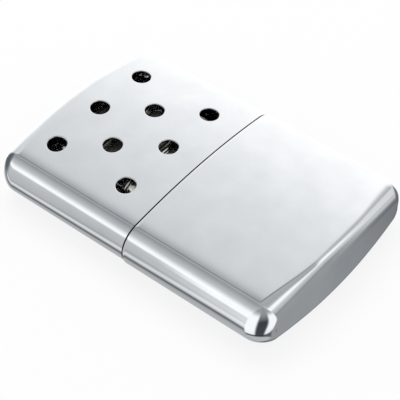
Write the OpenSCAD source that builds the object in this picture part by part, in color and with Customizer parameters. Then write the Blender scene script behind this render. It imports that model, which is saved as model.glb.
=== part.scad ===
// Catalytic pocket hand warmer, lying flat on its back.
// X is the width, Y the length with the lid at the +Y end, Z the thickness.
// The origin is under the middle of the case, at the lowest point of its back.

/* [Case] */
// Width of the case, measured on the tank
case_w = 66.5; // [60:0.5:80]
// Thickness of the case, measured on the tank
case_t = 17.5; // [16:0.5:22]
// Length of the tank, from its closed end to the parting line
tank_len = 48.8; // [44:0.1:60]
// Length of the lid, from the parting line to its closed end
lid_len = 48.7; // [46:0.1:56]
// Radius of the half-round long sides
side_r = 6.9; // [6.5:0.1:7.5]
// Radius of the drawn edge across the middle of each closed end
end_edge_r = 4; // [2.5:0.1:5.5]
// Radius of the four corners in the plan view
corner_r = 5.9; // [4.5:0.1:6.2]
// How far the middle of each closed end stands out past its corners
end_bow = 1.8; // [0:0.1:3]
// Thickness of the drawn sheet of the tank and the lid
sheet = 0.5; // [0.4:0.05:0.8]

/* [Parting line] */
// Gap between the rim of the tank and the edge of the lid
part_gap = 0.15; // [0.1:0.05:0.4]
// How far the outside of the lid lies inside the outside of the tank
lid_step = 0.35; // [0.2:0.05:0.6]
// Length over which the rim of the tank curls inwards
rim_len = 1.5; // [0.8:0.1:3]
// How far the rim of the tank curls inwards
rim_in = 0.3; // [0.1:0.05:0.35]

/* [Vents] */
// Diameter of a vent hole
vent_d = 5.4; // [4:0.1:6.5]
// Distance between neighbouring holes in a row
vent_pitch_x = 18.25; // [14:0.25:19]
// Distance between the rows
vent_pitch_y = 12.75; // [10:0.25:14]
// Distance from the closed end of the lid to the first row
vent_from_end = 12; // [9:0.25:15]
// Radius of the polished edge of a hole
vent_edge_r = 0.35; // [0.1:0.05:0.45]
// Number of holes in each row, from the closed end towards the parting line
vent_rows = [3, 2, 3];

/* [Tank top] */
// Height of the collar that the lid slides over, above the parting line
collar_h = 8; // [5:0.1:9]
// Gap between the collar and the inside of the lid
collar_gap = 0.15; // [0.1:0.05:0.4]
// Depth to which the top reaches down inside the tank
top_skirt = 8; // [5:0.5:14]
// Length of the joggle between the skirt and the collar
joggle = 1.2; // [0.8:0.1:2]
// Radius of the drawn edge round the top
top_edge_r = 1.6; // [1:0.1:2.5]
// Thickness of the sheet of the top
top_sheet = 0.5; // [0.4:0.05:0.8]

/* [Filler neck] */
// Height of the neck above the tank top
neck_h = 5.6; // [5:0.1:8]
// Thickness of the wall of the neck
neck_wall = 0.5; // [0.4:0.05:0.8]
// Width of the flange that holds the neck under the tank top
neck_flange = 0.8; // [0.5:0.1:0.8]
// Thickness of that flange
neck_flange_t = 0.6; // [0.4:0.05:1]
// Depth of the free space in the mouth, above the wick
mouth_depth = 4.6; // [4.2:0.1:5]

/* [Burner] */
// Width of the burner at its skirt
burner_w = 37; // [32:0.5:42]
// Thickness of the burner at its skirt
burner_t = 11; // [10:0.25:12]
// Thickness of the pressed sheet of the burner
burner_sheet = 0.5; // [0.4:0.05:0.6]
// Gap between the skirt of the burner and the neck
skirt_gap = 0.12; // [0.08:0.01:0.2]
// Gap between the lower edge of the skirt and the tank top
skirt_lift = 0.4; // [0.3:0.1:1]
// Gap between the mouth of the neck and the shoulder of the burner
shoulder_gap = 0.3; // [0.2:0.05:0.6]
// Height of the head, above the shoulder
head_h = 26; // [20:0.5:27]
// How far the side of the head lies inside the side of the skirt
head_in = 0.8; // [0.7:0.1:1.2]
// Width of the ledge that carries the tray
ledge = 0.9; // [0.5:0.1:1.2]
// Radius of the pressed bead under the shoulder
bead_r = 0.9; // [0.8:0.05:1.1]
// Radius of the turned edge round the end of the head
head_edge_r = 1.2; // [0.8:0.1:1.6]
// Width of the lip that holds the cap in the head
lip = 0.6; // [0.4:0.1:1]
// Number of slots in each wide face of the head
slot_count = 4; // [3:1:6]
// Width of the bars between the slots
slot_bar = 1.6; // [1.4:0.1:2.5]
// Number of windows across the end of the head
window_count = 7; // [4:1:8]
// Width of each window in the end of the head
window_w = 2; // [1.2:0.1:2.2]

/* [Catalyst and packing] */
// Gap between a soft piece and the sheet round it
soft_gap = 0.1; // [0.05:0.05:0.3]
// Depth of the tray that the catalyst mat sits in
tray_h = 2; // [1:0.1:3]
// Diameter of the holes in the bottom of the tray
tray_hole_d = 2.2; // [1.5:0.1:3]
// Number of holes along each row of the tray
tray_holes = 8; // [4:1:8]
// Distance between the two rows of holes in the tray
tray_rows = 3.4; // [3:0.1:3.6]

/* [Hidden] */
$fn = 64;
chrome = "#d8dadd";
nickel = "#b9bbb8";
tinplate = "#c9c7bf";
glass_fibre = "#8d8a84";
cotton_white = "#ece8dc";
felt_grey = "#bdb6a5";
eps = 0.01;
mid_z = case_t / 2;
half_w = case_w / 2;
half_t = case_t / 2;
// The section is an oval of four tangent arcs: two crowns and two half-round sides
crown_r = (pow(half_w - side_r, 2) + half_t * half_t - side_r * side_r) / (2 * (half_t - side_r));
lean = asin((half_w - side_r) / (crown_r - side_r));
crown_steps = 14;
side_steps = 18;
end_steps = 7;
rim_steps = 3;
// Insets from the outside of the tank
lid_in = lid_step + sheet;
collar_in = lid_in + collar_gap;
skirt_in = sheet + eps;
// Heights along Y
y_part = (tank_len - lid_len) / 2;
y_collar = y_part + collar_h;
y_neck = y_collar + neck_h;
y_wick = y_neck - mouth_depth;
y_skirt = y_collar + skirt_lift;
y_shoulder = y_neck + shoulder_gap + burner_sheet;
y_head = y_shoulder + head_h;
y_pack = y_collar - top_sheet - neck_flange_t - soft_gap;
neck_w = burner_w - 2 * (burner_sheet + skirt_gap);
neck_t = burner_t - 2 * (burner_sheet + skirt_gap);
core_w = burner_w - burner_t;
skirt_r = burner_t / 2;
head_r = skirt_r - head_in;
hold_r = head_r - burner_sheet - eps;
slot_pitch = (head_h - slot_bar) / slot_count;
slot_h = slot_pitch - slot_bar;
y_tray = y_shoulder + tray_h;
y_cap = y_head - 2 * burner_sheet;

// Directions of the outward normal round the section, from the +X side over the top
function part_of(a0, a1, steps) = [for (i = [0 : steps - 1]) a0 + (a1 - a0) * i / steps];
function round_oval(crown) = concat(part_of(90, lean, side_steps / 2), part_of(lean, -lean, crown),
    part_of(-lean, lean - 180, side_steps), part_of(lean - 180, -lean - 180, crown),
    part_of(-lean - 180, -270, side_steps / 2));
normals = round_oval(crown_steps);
// With one step more the tank's back ends in a narrow flat, on which it lies without rocking
tank_normals = round_oval(crown_steps + 1);

// Point of the section where the normal leans t from +Z, drawn in by inset
function on_crown(t) = abs(sin(t)) < sin(lean) - eps / 100;
function arc_x(t) = on_crown(t) ? 0 : sign(sin(t)) * (half_w - side_r);
function arc_z(t) = on_crown(t) ? -sign(cos(t)) * (crown_r - half_t) : 0;
function arc_r(t) = on_crown(t) ? crown_r : side_r;
function oval(t, inset) = [arc_x(t) + (arc_r(t) - inset) * sin(t),
                           arc_z(t) + (arc_r(t) - inset) * cos(t)];
function flat_ring(y, inset, turns = normals) = [for (t = turns) let (p = oval(t, inset))
                                                 [p[0], y, mid_z + p[1]]];
// The drawn edge of a closed end: its radius grows from the crown to the corners
function edge_r(t) = end_edge_r + (corner_r - end_edge_r) * pow(sin(t), 2);
function end_y(x) = end_bow * pow(x / half_w, 2);
function end_ring(way, y_end, turn, inset, wall, turns = normals) = [for (t = turns)
    let (r = edge_r(t) - wall, p = oval(t, inset + r * (1 - cos(turn))))
    [p[0], way * (y_end - wall - end_y(p[0]) - r * (1 - sin(turn))), mid_z + p[1]]];

// A closed skin through a chain of rings, each end closed by strips across the oval
module skin(rings) {
    n = len(rings[0]);
    last = (len(rings) - 1) * n;
    half = n / 2;
    sides = [for (k = [0 : len(rings) - 2], i = [0 : n - 1])
             let (a = k * n + i, b = k * n + (i + 1) % n)
             each [[a, b, b + n], [a, b + n, a + n]]];
    cap = [for (i = [0 : half - 1]) let (j = (n - i) % n)
           each i == 0 ? [[0, n - 1, 1]]
                       : i == half - 1 ? [[i, j, i + 1]]
                                       : [[i, j, j - 1], [i, j - 1, i + 1]]];
    last_cap = [for (f = cap) [f[2] + last, f[1] + last, f[0] + last]];
    polyhedron(points = [for (r = rings) each r], faces = concat(sides, cap, last_cap));
}

// One drawn half of the case: its bore from the bottom up, then its outside from the rim down
module drawn_half(way, y_open, y_end, inset, curl, turns = normals) {
    bend = [for (i = [0 : end_steps]) 90 * i / end_steps];
    bore = concat([for (i = [end_steps : -1 : 0])
                   end_ring(way, y_end, bend[i], inset + sheet, sheet, turns)],
                  [flat_ring(way * y_open, inset + sheet, turns)]);
    rim = curl > 0 ? [for (i = [0 : rim_steps]) let (g = 90 * i / rim_steps)
                      flat_ring(way * (y_open + rim_len * (1 - cos(g))),
                                inset + curl * (1 - sin(g)), turns)]
                   : [flat_ring(way * y_open, inset, turns)];
    outside = [for (i = [0 : end_steps]) end_ring(way, y_end, bend[i], inset, 0, turns)];
    if (way > 0) skin(concat(bore, rim, outside));
    else mirror([0, 1, 0]) drawn_half(1, y_open, y_end, inset, curl, turns);
}

// An extrusion along Y of a flat shape drawn in X and Z
module along_y(y0, y1) {
    translate([0, y0, mid_z]) rotate([-90, 0, 0]) linear_extrude(y1 - y0) children();
}

module oblong(w, t) {
    square([w - t, t], center = true);
    for (side = [-1, 1]) translate([side * (w - t) / 2, 0]) circle(d = t);
}

// A profile of distance from the core line and height, carried round an oblong from y0
module round_oblong(core, y0) {
    translate([0, y0, mid_z]) rotate([-90, 0, 0]) for (turn = [0, 180]) rotate(turn) {
        translate([core / 2, 0, 0]) rotate(-90) rotate_extrude(angle = 180) children();
        translate([-core / 2, 0, 0]) rotate([90, 0, 90]) linear_extrude(core) children();
    }
}

// A flat oblong plug that reaches r from the core line of the burner
module plug(r, y0, y1) {
    along_y(y0, y1) oblong(core_w + 2 * r, 2 * r);
}

// Half of a block with its upper outer edge rounded
module eased(r, h, edge) {
    square([r, h - edge]);
    square([r - edge, h]);
    translate([r - edge, h - edge]) circle(r = edge);
}

// A plug that cuts one vent with its rounded edge, standing on the crown at x, y
module vent_cutter(x, y) {
    turn = asin(x / crown_r);
    r = vent_d / 2;
    translate([0, y, half_t + mid_z - crown_r]) rotate([0, turn, 0])
        translate([0, 0, crown_r - lid_step]) {
            translate([0, 0, -mid_z / 2]) cylinder(r = r, h = mid_z);
            translate([0, 0, -vent_edge_r]) rotate_extrude() difference() {
                square([r + vent_edge_r, 2 * vent_edge_r]);
                translate([r + vent_edge_r, 0]) circle(r = vent_edge_r);
            }
        }
}

module tank_shell() {
    color(chrome) drawn_half(-1, -y_part, tank_len - y_part, 0, rim_in, tank_normals);
}

// The drawn top: a skirt held in the tank, a joggle, the collar and the flat plate
module tank_top() {
    foot = y_part - top_skirt;
    seat = y_part - rim_len - joggle;
    edge = [for (i = [0 : 4]) 22.5 * i];
    outer = concat([flat_ring(foot, skirt_in), flat_ring(seat, skirt_in),
                    flat_ring(seat + joggle, collar_in)],
                   [for (g = edge) flat_ring(y_collar - top_edge_r * (1 - sin(g)),
                                             collar_in + top_edge_r * (1 - cos(g)))]);
    bend_r = top_edge_r - top_sheet;
    inner = concat([for (i = [4 : -1 : 0])
                    flat_ring(y_collar - top_sheet - bend_r * (1 - sin(edge[i])),
                              collar_in + top_sheet + bend_r * (1 - cos(edge[i])))],
                   [flat_ring(seat + joggle, collar_in + top_sheet),
                    flat_ring(seat, skirt_in + top_sheet), flat_ring(foot, skirt_in + top_sheet)]);
    color(tinplate) difference() {
        skin(concat(inner, outer));
        along_y(y_collar - 2 * top_sheet, y_collar + top_sheet) oblong(neck_w + 2 * eps, neck_t + 2 * eps);
    }
}

module filler_neck() {
    under = y_collar - top_sheet;
    color(nickel) {
        difference() {
            union() {
                along_y(under - neck_flange_t, y_neck) oblong(neck_w, neck_t);
                along_y(under - neck_flange_t, under)
                    oblong(neck_w + 2 * neck_flange, neck_t + 2 * neck_flange);
            }
            along_y(under - 2 * neck_flange_t, y_neck + 1)
                oblong(neck_w - 2 * neck_wall, neck_t - 2 * neck_wall);
        }
    }
}

// The cotton fills the tank: it is drawn with its bottom towards +Y and then turned over
module cotton_packing() {
    tight = sheet + soft_gap;
    under_skirt = skirt_in + top_sheet + soft_gap;
    under_collar = collar_in + top_sheet + soft_gap;
    floor_end = tank_len - y_part;
    foot = top_skirt - y_part + soft_gap;
    seat = rim_len + joggle - y_part + soft_gap;
    up = [flat_ring(-y_pack, under_collar + top_edge_r), flat_ring(top_edge_r - y_pack, under_collar),
          flat_ring(seat - joggle, under_collar), flat_ring(seat, under_skirt),
          flat_ring(foot, under_skirt), flat_ring(foot + soft_gap, tight)];
    bottom = [for (i = [0 : 4]) end_ring(1, floor_end, 22.5 * i, tight, tight)];
    color(cotton_white) mirror([0, 1, 0]) skin(concat(up, bottom));
}

module neck_wick() {
    slack = neck_wall + soft_gap;
    color(felt_grey) along_y(y_pack, y_wick) oblong(neck_w - 2 * slack, neck_t - 2 * slack);
}

// The skirt that pushes over the neck: a pressed bead, a shoulder and a ledge for the tray
module burner_skirt() {
    h = y_shoulder - y_skirt;
    inner_r = skirt_r - burner_sheet;
    bead_y = h - burner_sheet - bead_r;
    color(nickel) round_oblong(core_w, y_skirt) difference() {
        union() {
            eased(skirt_r, h, head_in);
            translate([inner_r + burner_sheet / 2, bead_y]) circle(r = bead_r);
        }
        translate([0, -eps]) square([inner_r, h - burner_sheet + eps]);
        translate([inner_r + burner_sheet / 2, bead_y]) circle(r = bead_r - burner_sheet);
        square([hold_r - ledge, h + 1]);
    }
}

// The perforated tray between the neck and the mat
module mat_tray() {
    pitch = core_w / (tray_holes - 1);
    color(nickel) difference() {
        plug(hold_r, y_shoulder, y_tray);
        plug(hold_r - burner_sheet, y_shoulder + burner_sheet, y_tray + 1);
        for (i = [0 : tray_holes - 1], side = [-1, 1])
            translate([(i - (tray_holes - 1) / 2) * pitch, y_shoulder - 1,
                       mid_z + side * tray_rows / 2])
                rotate([-90, 0, 0]) cylinder(d = tray_hole_d, h = burner_sheet + 2);
    }
}

// The platinum-coated glass-fibre mat: a foot in the tray and a block behind the slots
module catalyst_mat() {
    foot_r = hold_r - burner_sheet - soft_gap;
    color(glass_fibre) {
        plug(foot_r, y_shoulder + burner_sheet + soft_gap, y_tray + soft_gap);
        plug(hold_r - soft_gap, y_tray + soft_gap, y_cap - soft_gap);
    }
}

// The pressed cage round the mat, slotted across both wide faces, its end turned in to a lip
module burner_head() {
    color(nickel) difference() {
        round_oblong(core_w, y_shoulder) difference() {
            eased(head_r, head_h, head_edge_r);
            translate([0, -eps])
                eased(head_r - burner_sheet, head_h - burner_sheet + eps, head_edge_r - burner_sheet);
            square([head_r - head_edge_r - lip, head_h + 1]);
        }
        for (i = [0 : slot_count - 1])
            translate([0, y_shoulder + slot_bar + slot_pitch * i + slot_h / 2, -1])
                linear_extrude(case_t + 2) oblong(core_w, slot_h);
    }
}

// The plate under the lip, with a row of windows across the end of the head
module burner_cap() {
    cap_r = head_r - head_edge_r - eps;
    pitch = core_w / (window_count - 1);
    window_h = 2 * (head_r - head_edge_r - lip);
    color(nickel) difference() {
        plug(cap_r, y_cap, y_head - burner_sheet);
        for (i = [0 : window_count - 1])
            translate([(i - (window_count - 1) / 2) * pitch, 0, 0])
                along_y(y_cap - 1, y_head + 1) rotate(90) oblong(window_h, window_w);
    }
}

module lid_shell() {
    color(chrome) difference() {
        drawn_half(1, y_part + part_gap, lid_len + y_part, lid_step, 0);
        for (row = [0 : len(vent_rows) - 1], i = [0 : vent_rows[row] - 1])
            vent_cutter((i - (vent_rows[row] - 1) / 2) * vent_pitch_x,
                        y_part + lid_len - vent_from_end - row * vent_pitch_y);
    }
}

tank_shell();
tank_top();
filler_neck();
cotton_packing();
neck_wick();
burner_skirt();
mat_tray();
catalyst_mat();
burner_head();
burner_cap();
lid_shell();
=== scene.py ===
import math

import bmesh
import bpy
import numpy as np
from mathutils import Matrix, Vector


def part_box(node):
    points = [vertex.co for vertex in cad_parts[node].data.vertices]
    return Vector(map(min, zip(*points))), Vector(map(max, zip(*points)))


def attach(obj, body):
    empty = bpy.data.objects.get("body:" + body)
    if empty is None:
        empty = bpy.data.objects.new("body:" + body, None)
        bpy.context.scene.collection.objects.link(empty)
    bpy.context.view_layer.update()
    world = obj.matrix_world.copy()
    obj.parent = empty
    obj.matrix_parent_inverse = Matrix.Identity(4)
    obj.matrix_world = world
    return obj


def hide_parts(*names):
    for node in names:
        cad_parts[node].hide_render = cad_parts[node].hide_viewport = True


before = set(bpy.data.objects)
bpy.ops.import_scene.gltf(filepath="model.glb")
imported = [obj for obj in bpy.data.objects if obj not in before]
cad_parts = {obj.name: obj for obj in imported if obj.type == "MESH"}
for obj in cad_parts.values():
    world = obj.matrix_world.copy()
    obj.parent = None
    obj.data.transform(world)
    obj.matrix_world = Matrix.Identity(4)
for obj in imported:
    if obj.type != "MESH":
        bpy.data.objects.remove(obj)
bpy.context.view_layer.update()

mm = 0.001
shapeStep = 1e-4  # how far apart the points lie that a surface's slope is read from


def nodeBox(name):
    # A CAD node's box in millimetres, as its low and its high corner.
    low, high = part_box(name)
    return np.array(low) / mm, np.array(high) / mm


tankLow, tankHigh = nodeBox("tank_shell")
lidLow, lidHigh = nodeBox("lid_shell")
topLow, topHigh = nodeBox("tank_top")
neckLow, neckHigh = nodeBox("filler_neck")
skirtLow, skirtHigh = nodeBox("burner_skirt")
headLow, headHigh = nodeBox("burner_head")
matLow, matHigh = nodeBox("catalyst_mat")
wickLow, wickHigh = nodeBox("neck_wick")
cottonLow, cottonHigh = nodeBox("cotton_packing")

# The drawn case, in millimetres. Width, thickness and lengths come from the frame.
case = {
    "sideRadius": 6.9,     # half-round long sides
    "endEdge": 4.0,        # drawn edge across the middle of a closed end
    "corner": 5.9,         # the same edge at the corners
    "endBow": 1.8,         # how far the middle of an end stands out
    "sheet": 0.5,
    "rimLength": 1.0,      # the tank's rim curls in over this length
    "rimIn": 0.2,
    "rimBack": 0.1,        # the trimmed rim stands this far back from the parting line
    "soot": 0.17,          # painted shade, dark grey, that reaches this far out of the parting line, where the gap lies in shade
    "holeShade": 0.15,      # and this far out over a vent hole's cut wall, in shade inside the hole
    "openEdge": 0.16,      # the lid's cut edge, eased by polishing
    "crownSteps": 48,
    "sideSteps": 56,
}
lidForm = {
    "holeDiameter": 5.4, "holeEdge": 0.43, "innerEdge": 0.05,
    "pitchX": 18.25, "pitchY": 12.75, "fromEnd": 12.0, "rows": (3, 2, 3),
    "cellSteps": 16,       # grid squares along each side of the square round a hole
    "crownRest": 4,        # grid squares from the last hole's square to the half-round side
}
halfWidth = (tankHigh[0] - tankLow[0]) / 2
halfThick = (tankHigh[2] - tankLow[2]) / 2
midZ = (tankHigh[2] + tankLow[2]) / 2
sideRadius = case["sideRadius"]
sheet = case["sheet"]
sideCentre = halfWidth - sideRadius
# The section is an oval of four tangent arcs: two crowns and two half-round sides.
crownRadius = (sideCentre ** 2 + halfThick ** 2 - sideRadius ** 2) / (2 * (halfThick - sideRadius))
lean = math.asin(sideCentre / (crownRadius - sideRadius))
lidInset = halfWidth - (lidHigh[0] - lidLow[0]) / 2


# Blender helpers

def linear(hexColour):
    # sRGB hex to linear: each channel through the sRGB curve.
    channels = [int(hexColour[i:i + 2], 16) / 255 for i in (1, 3, 5)]
    return [c / 12.92 if c <= 0.04045 else ((c + 0.055) / 1.055) ** 2.4 for c in channels] + [1]


def setUp(tree, node, settings):
    # Sets a node's options and sockets. A node or a (node, output) is linked to the socket.
    for name, value in settings.items():
        source = value if isinstance(value, tuple) else (value, 0)
        if isinstance(source[0], bpy.types.Node):
            tree.links.new(source[0].outputs[source[1]], node.inputs[name])
        elif name == "stops":
            for extra in value[2:]:
                node.color_ramp.elements.new(0.5)
            for element, (position, colour) in zip(node.color_ramp.elements, sorted(value)):
                element.position = position
                element.color = linear(colour)
        elif isinstance(name, str) and hasattr(node, name):
            setattr(node, name, value)
        else:
            node.inputs[name].default_value = value


def addNode(tree, kind, settings={}):
    # Adds a node of a kind and sets it up.
    made = tree.nodes.new("ShaderNode" + kind)
    setUp(tree, made, settings)
    return made


def newMaterial(name, cleared=False):
    # A material, its node tree, its Principled shader and the object's own coordinates. Cleared, it
    # is the material and an empty tree.
    made = bpy.data.materials.new(name)
    made.use_nodes = True
    tree = made.node_tree
    if cleared:
        tree.nodes.clear()
        return made, tree
    return made, tree, tree.nodes["Principled BSDF"], (addNode(tree, "TexCoord"), "Object")


def gridFaces(rows, columns, wrap, keep=None):
    # Quads of a rows by columns grid of points, closed along its columns when wrap is set.
    row = np.arange(rows - 1)[:, None]
    column = np.arange(columns if wrap else columns - 1)[None, :]
    after = (column + 1) % columns
    quads = np.stack([row * columns + column, row * columns + after,
                      (row + 1) * columns + after, (row + 1) * columns + column], axis=-1)
    if keep is not None:
        return quads[keep]
    return quads.reshape(-1, 4)


def newMesh(name, points, loops, starts):
    # A mesh of points in millimetres, from each corner's point and each face's first corner.
    mesh = bpy.data.meshes.new(name)
    mesh.vertices.add(len(points))
    mesh.vertices.foreach_set("co", (points * mm).ravel())
    mesh.loops.add(len(loops))
    mesh.loops.foreach_set("vertex_index", loops)
    mesh.polygons.add(len(starts))
    mesh.polygons.foreach_set("loop_start", starts)
    mesh.update(calc_edges=True)
    return mesh


def makeMesh(name, patches, weld=0.002):
    # Joins grids of (points, normals, wrap, keep) in millimetres to one mesh. Each quad is turned
    # to its normals, points closer than weld are merged, and the normals become the mesh's own.
    points, normals, quads, count = [], [], [], 0
    for spot, facing, wrap, keep in patches:
        faces = gridFaces(spot.shape[0], spot.shape[1], wrap, keep)
        flatSpot, flatFacing = spot.reshape(-1, 3), facing.reshape(-1, 3)
        corners = flatSpot[faces]
        across = np.cross(corners[:, 2] - corners[:, 0], corners[:, 3] - corners[:, 1])
        turned = (across * flatFacing[faces].sum(axis=1)).sum(axis=1) < 0
        faces[turned] = faces[turned][:, ::-1]
        points.append(flatSpot)
        normals.append(flatFacing)
        quads.append(faces + count)
        count += len(flatSpot)
    points, normals, quads = map(np.concatenate, (points, normals, quads))
    mesh = newMesh(name, points, quads.ravel(), np.arange(0, quads.size, 4))
    facing = mesh.attributes.new("facing", "FLOAT_VECTOR", "POINT")
    facing.data.foreach_set("vector", normals.ravel())
    welded = bmesh.new()
    welded.from_mesh(mesh)
    bmesh.ops.remove_doubles(welded, verts=welded.verts, dist=weld * mm)
    bmesh.ops.dissolve_degenerate(welded, edges=welded.edges, dist=weld * mm / 10)
    openEdges = sum(not edge.is_manifold for edge in welded.edges)
    welded.to_mesh(mesh)
    welded.free()
    facing = np.zeros(len(mesh.vertices) * 3)
    mesh.attributes["facing"].data.foreach_get("vector", facing)
    mesh.attributes.remove(mesh.attributes["facing"])
    mesh.shade_smooth()
    mesh.normals_split_custom_set_from_vertices(facing.reshape(-1, 3))
    print(f"  {name}: {len(mesh.vertices)} points, {len(mesh.polygons)} faces, {openEdges} open edges")
    return mesh


def makePiece(name, mesh, material, body, stands=None):
    # Links a mesh as a piece that rides on its body and stands for a CAD node.
    piece = bpy.data.objects.new(name, mesh)
    bpy.context.scene.collection.objects.link(piece)
    mesh.materials.clear()
    mesh.materials.append(material)
    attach(piece, body)
    if stands:
        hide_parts(stands)
    return piece


def unit(vectors):
    # Vectors scaled to length one, where they have any.
    size = np.linalg.norm(vectors, axis=-1, keepdims=True)
    return vectors / np.maximum(size, 1e-12)


# Section and sheet

def ovalPoint(t, inset):
    # Point of the case's section whose normal leans t from +Z towards +X: the centre of the arc
    # that t lies on, plus that arc's radius less the inset, along the normal.
    onCrown = np.abs(np.sin(t)) < math.sin(lean) - 1e-9
    centreX = np.where(onCrown, 0, np.sign(np.sin(t)) * sideCentre)
    centreZ = np.where(onCrown, -np.sign(np.cos(t)) * (crownRadius - halfThick), 0)
    radius = np.where(onCrown, crownRadius, sideRadius) - inset
    return centreX + radius * np.sin(t), centreZ + radius * np.cos(t)


def ovalTurns(topTurns):
    # Normal angles once round the section, from the +X side over the top. topTurns run from lean
    # to -lean, and the lower crown repeats them so that top and bottom points lie opposite.
    sides = np.linspace(math.pi / 2, lean, case["sideSteps"] // 2 + 1)[:-1]
    upper = np.concatenate([sides, topTurns, -sides[::-1]])
    return np.concatenate([upper, -math.pi - upper[1:-1][::-1]])


# Stations along a drawn half: plain millimetres up to lastLine, then three stretches of length 1,
# up to the start of the drawn edge, round it, and across the closed end.
def skinPoint(half, t, v, depth):
    # Point of a drawn half at normal angle t and station v, depth below its outside. The end's
    # drawn edge has a radius that grows from the crown to the corners, and its face is bowed.
    line = half["lastLine"]
    toEdge = np.clip(v - line, 0, 1)
    turn = np.clip(v - line - 1, 0, 1) * math.pi / 2
    across = np.clip(v - line - 2, 0, 1)
    edge = case["endEdge"] + (case["corner"] - case["endEdge"]) * np.sin(t) ** 2
    startX = ovalPoint(t, half["inset"])[0]
    share = np.clip((np.abs(np.sin(t)) / math.sin(lean) - 0.3) / 0.7, 0, 1)
    long = edge + half["cornerEase"] * share ** 2 * (3 - 2 * share) * np.cos(t) ** 2
    start = half["end"] - case["endBow"] * (startX / halfWidth) ** 2 - long
    reach = np.minimum(1, (start - 0.6 - half["open"]) / (line - half["open"]))
    straight = half["open"] + (np.minimum(v, line) - half["open"]) * reach
    radius = edge - depth
    x, z = ovalPoint(t, half["inset"] + depth + radius * (1 - np.cos(turn)))
    bowed = half["end"] - depth - case["endBow"] * (x / halfWidth) ** 2 - (long - depth) * (1 - np.sin(turn))
    y = straight + toEdge * (bowed - straight)
    return np.stack([x, half["way"] * y, midZ + z * (1 - across)], axis=-1)


def sheetGrid(pointAt, u, v, depth, tilt=0, rimU=0, rimV=0, wrap=True, keep=None, endFace=None):
    # A grid on a sheet: points at (u, v, depth), and normals that turn by tilt from the outside
    # over the free edge that lies against the direction (rimU, rimV) to the inside.
    u, v, depth, tilt, rimU, rimV = [a[..., None] for a in np.broadcast_arrays(
        *[np.asarray(a, float) for a in (u, v, depth, tilt, rimU, rimV)])]
    at = lambda du, dv, dd: pointAt(u[..., 0] + du, v[..., 0] + dv, depth[..., 0] + dd)
    alongU = unit(at(shapeStep, 0, 0) - at(-shapeStep, 0, 0))
    alongV = unit(at(0, shapeStep, 0) - at(0, -shapeStep, 0))
    outside = np.cross(alongU, alongV)
    outward = at(0, 0, -shapeStep) - at(0, 0, shapeStep)
    outside = unit(outside * np.sign((outside * outward).sum(-1, keepdims=True)))
    if endFace is not None:
        outside = np.where(v > endFace["from"], endFace["normal"](at(0, 0, 0)), outside)
    normals = np.cos(tilt) * outside - np.sin(tilt) * (rimU * alongU + rimV * alongV)
    return at(0, 0, 0), unit(normals), wrap, keep


def roundedEdge(outerRadius, innerRadius, thickness, steps=6):
    # Profile of a sheet's cut edge: (distance from the edge, depth, tilt), rounded outside and in.
    turn = np.linspace(0, math.pi / 2, steps)
    outer = [outerRadius * (1 - np.sin(turn)), outerRadius * (1 - np.cos(turn)), turn]
    inner = [innerRadius * (1 - np.cos(turn)), thickness - innerRadius * (1 - np.sin(turn)),
             math.pi / 2 + turn]
    return np.concatenate([outer, inner], axis=1)


def oblongRing(straight, radius, cornerTurn, shortSteps, longSteps):
    # Walks round an oblong from the lower corner of its right end: the centre that each point
    # turns about, and its direction. cornerTurn is the direction where the walk changes sides.
    end = np.linspace(-cornerTurn, cornerTurn, shortSteps, endpoint=False)
    arc = (math.pi / 2 - cornerTurn) * radius
    run = np.linspace(0, 2 * arc + straight, longSteps, endpoint=False)
    top = cornerTurn + (np.clip(run, 0, arc) + np.clip(run - arc - straight, 0, arc)) / radius
    topX = straight / 2 - np.clip(run - arc, 0, straight)
    endX = np.full(shortSteps, straight / 2)
    turn = np.concatenate([end, top, end + math.pi, top + math.pi])
    return np.concatenate([endX, topX, -endX, -topX]), np.cos(turn), np.sin(turn)


def holeGrid(pointAt, cell, centre, scale, straight, radius, cornerTurn, steps, edge, thickness):
    # A hole in a sheet: rings that run from the cell's border to the hole's rounded edge, through
    # the sheet, and back to the border on its inside. cell is (u0, u1, v0, v1).
    shortSteps, longSteps = steps
    u0, u1, v0, v1 = cell
    up, along = np.linspace(0, 1, shortSteps, endpoint=False), np.linspace(0, 1, longSteps, endpoint=False)
    borderU = np.concatenate([up * 0 + u1, u1 + (u0 - u1) * along, up * 0 + u0, u0 + (u1 - u0) * along])
    borderV = np.concatenate([v0 + (v1 - v0) * up, along * 0 + v1, v1 + (v0 - v1) * up, along * 0 + v0])
    middle, awayU, awayV = oblongRing(straight, radius, cornerTurn, shortSteps, longSteps)
    borderU, borderV = (borderU - centre[0]) * scale, borderV - centre[1]
    distance, depth, tilt = roundedEdge(*edge, thickness)
    near = np.linspace(0, 1, 7)[:-1, None]
    rings = []
    for side in (0, -1):
        reach = radius + distance[side]
        u = borderU + (middle + awayU * reach - borderU) * near
        v = borderV + (awayV * reach - borderV) * near
        rings.append((u, v) if side == 0 else (u[::-1], v[::-1]))
    throughU = middle + awayU * (radius + distance[:, None])
    throughV = awayV * (radius + distance[:, None])
    u = np.concatenate([rings[0][0], throughU, rings[1][0]])
    v = np.concatenate([rings[0][1], throughV, rings[1][1]])
    count = len(near)
    depth = np.concatenate([np.zeros(count), depth, np.full(count, thickness)])[:, None]
    tilt = np.concatenate([np.zeros(count), tilt, np.full(count, math.pi)])[:, None]
    return sheetGrid(pointAt, centre[0] + u / scale, centre[1] + v, depth, tilt, awayU, awayV)


def bowedEnd(half):
    # The normal of a closed end's bowed face, and the station where that face starts.
    def normal(at):
        slope = 2 * case["endBow"] * at[..., 0] / halfWidth ** 2
        return unit(np.stack([slope, np.full_like(slope, half["way"]), np.zeros_like(slope)], axis=-1))
    return {"from": half["lastLine"] + 2 + 1e-6, "normal": normal}


def endStations(half):
    # Stations up to the drawn edge, round it, and across the closed end.
    line = half["lastLine"]
    return np.concatenate([line + np.linspace(0, 1, 4)[1:], line + 1 + np.linspace(0, 1, 15)[1:],
                           line + 2 + np.linspace(0, 1, 8)[1:]])


# The lid

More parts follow.
